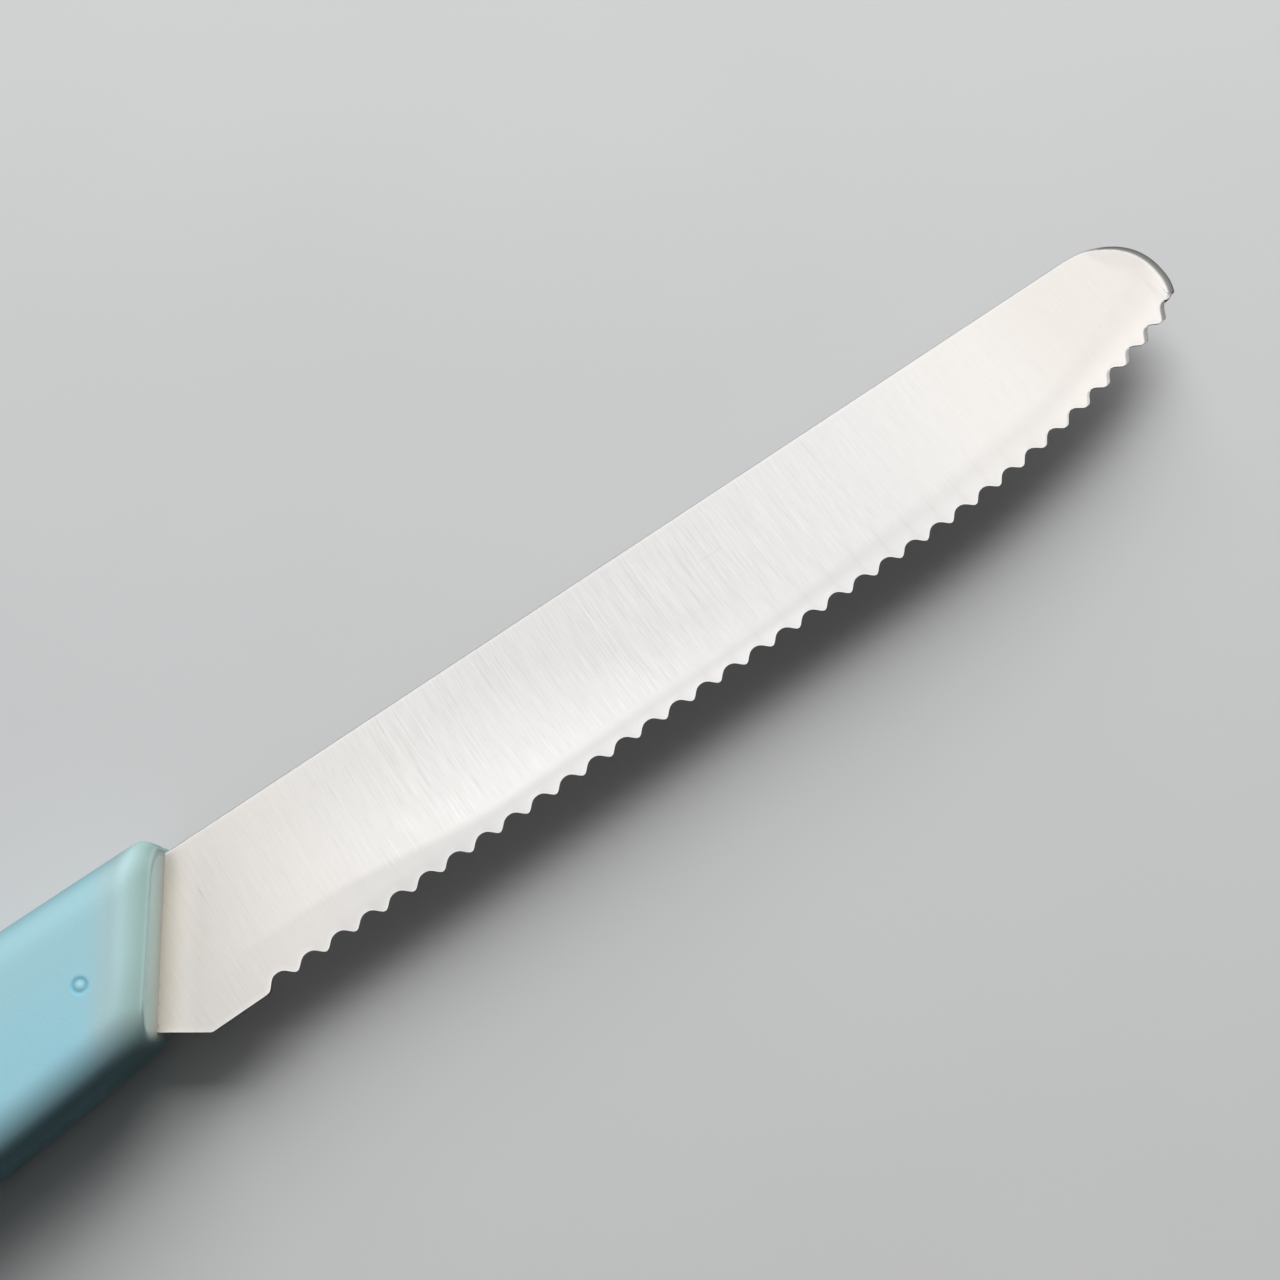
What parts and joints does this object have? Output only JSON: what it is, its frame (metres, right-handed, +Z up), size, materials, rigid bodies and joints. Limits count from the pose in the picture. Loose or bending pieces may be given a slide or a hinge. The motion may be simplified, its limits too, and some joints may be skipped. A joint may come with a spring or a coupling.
{
  "type": "table knife",
  "caption": "Table knife with a wavy-edged, round-nosed steel blade whose flat tang is moulded into a flat-sided pastel blue plastic handle with a slanted front.",
  "frame": {"origin": "centre of the bounding box, on the plane the knife lies on", "axes": "+X from the butt towards the tip, +Y from the cutting edge towards the spine, +Z up out of the handle's flat side"},
  "size_m": [0.2164, 0.0192, 0.013],
  "materials": {
    "steel": "fine grind lines across the blade, with a smoother band along the edge",
    "plastic": "satin pastel blue moulding"
  },
  "bodies": {
    "root": {"blade": "steel", "handle": "plastic"}
  },
  "joints": []
}
